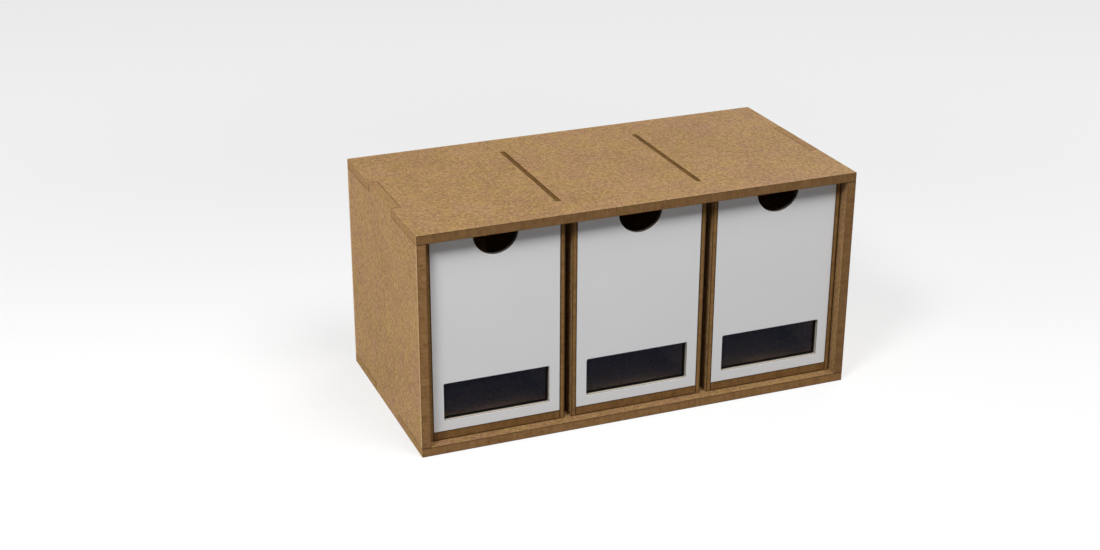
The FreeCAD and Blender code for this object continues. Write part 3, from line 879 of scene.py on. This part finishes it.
def painted_shadow_line(tree, place):
    """1 in a painted shadow line just inside the rim of each window, and 0 on the rest of the sheet."""
    low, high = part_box("middle_drawer_window_pane")
    middle = (low + high) / 2
    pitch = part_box("right_drawer_window_pane")[0].x - low.x
    parts = add_node(tree, "SeparateXYZ", {0: place}).outputs
    across = add_node(tree, "Math", {0: parts["X"], 1: middle.x}, operation="SUBTRACT").outputs[0]
    # The windows stand one pitch apart, so going to and fro over half a pitch meets all three.
    across = add_node(tree, "Math", {0: across, 1: pitch / 2}, operation="PINGPONG").outputs[0]
    up = add_node(tree, "Math", {0: parts["Z"], 1: middle.z}, operation="SUBTRACT").outputs[0]
    up = add_node(tree, "Math", {0: up}, operation="ABSOLUTE").outputs[0]
    lines = []
    for off_middle, half in ((across, (high.x - low.x) / 2), (up, (high.z - low.z) / 2)):
        rim = half - PANE_OVERLAP
        near = {"Value": off_middle, "From Min": rim - SHADOW_LINE_WIDTH, "From Max": rim - 0.7 * SHADOW_LINE_WIDTH}
        lines.append(add_node(tree, "MapRange", near).outputs[0])
    return add_node(tree, "Math", {0: lines[0], 1: lines[1]}, operation="MAXIMUM").outputs[0]


# The line is painted shadow.
print("glue line", round(SHADOW_LINE_WIDTH / MM, 2), "mm wide")

# %% Clear sheet
SHEET_TINT = "#C6C6C8"
SHEET_MIRROR = "#A4BEFF"
SHEET_IOR = 1.21
DUST_MM = 9
CLEANEST = 0.02
DUSTIEST = 0.09
RUB_MM = 2
RUB_RELIEF = 0.004 * MM
UPRIGHT_RUBS = (1.0, 1.0, 0.1)
SHADOW_LINE_DARK = "#0B0908"
SHADOW_LINE_ROUGHNESS = 0.5
SHADOW_LINE_GLOSS = 0.1


def clear_sheet():
    """Thin cast acrylic: glossy, slightly smoky, with a faint haze of dust and rubbing."""
    material, tree = start_material("acrylic_sheet_cast_glossy")
    place = add_node(tree, "TexCoord").outputs["Object"]
    # Dust and rubbing dull the mirrored studio in patches, so the sheet reads as used plastic.
    dust = {"Vector": place, "Scale": every(DUST_MM), "Detail": 4.0}
    cloud = {"Value": add_node(tree, "TexNoise", dust).outputs["Fac"], "To Min": CLEANEST, "To Max": DUSTIEST}
    haze = add_node(tree, "MapRange", cloud).outputs[0]
    # Hairline rubs run up and down and are drawn 2 mm apart. The real ones are too fine to see.
    drawn_out = {0: place, 1: UPRIGHT_RUBS}
    rubbed = add_node(tree, "VectorMath", drawn_out, operation="MULTIPLY").outputs[0]
    rubs = add_node(tree, "TexNoise", {"Vector": rubbed, "Scale": every(RUB_MM)}).outputs["Fac"]
    bump = add_node(tree, "Bump", {"Strength": 0.1, "Distance": RUB_RELIEF, "Height": rubs}).outputs[0]
    gloss = {
        "Base Color": linear(SHEET_TINT),
        "IOR": SHEET_IOR,
        "Specular Tint": linear(SHEET_MIRROR),
        "Transmission Weight": 1.0,
        "Roughness": haze,
        "Normal": bump,
    }
    sheet = add_node(tree, "BsdfPrincipled", gloss).outputs[0]
    open_way = add_node(tree, "BsdfTransparent", {"Color": linear(SHEET_TINT)}).outputs[0]
    for_lamps = add_node(tree, "LightPath").outputs["Is Shadow Ray"]
    clear = add_node(tree, "MixShader", {0: for_lamps, 1: sheet, 2: open_way}).outputs[0]
    # Painted shadow: a dark opaque band just inside the window's rim.
    shadow_line_finish = {"Base Color": linear(SHADOW_LINE_DARK), "Roughness": SHADOW_LINE_ROUGHNESS, "Specular IOR Level": SHADOW_LINE_GLOSS}
    painted_shadow_band = add_node(tree, "BsdfPrincipled", shadow_line_finish).outputs[0]
    shadow_line_mask = painted_shadow_line(tree, place)
    surface = add_node(tree, "MixShader", {0: shadow_line_mask, 1: clear, 2: painted_shadow_band}).outputs[0]
    add_node(tree, "OutputMaterial", {"Surface": surface})
    return material


window_panes = of_each_drawer("window_pane")
dress(window_panes, clear_sheet())
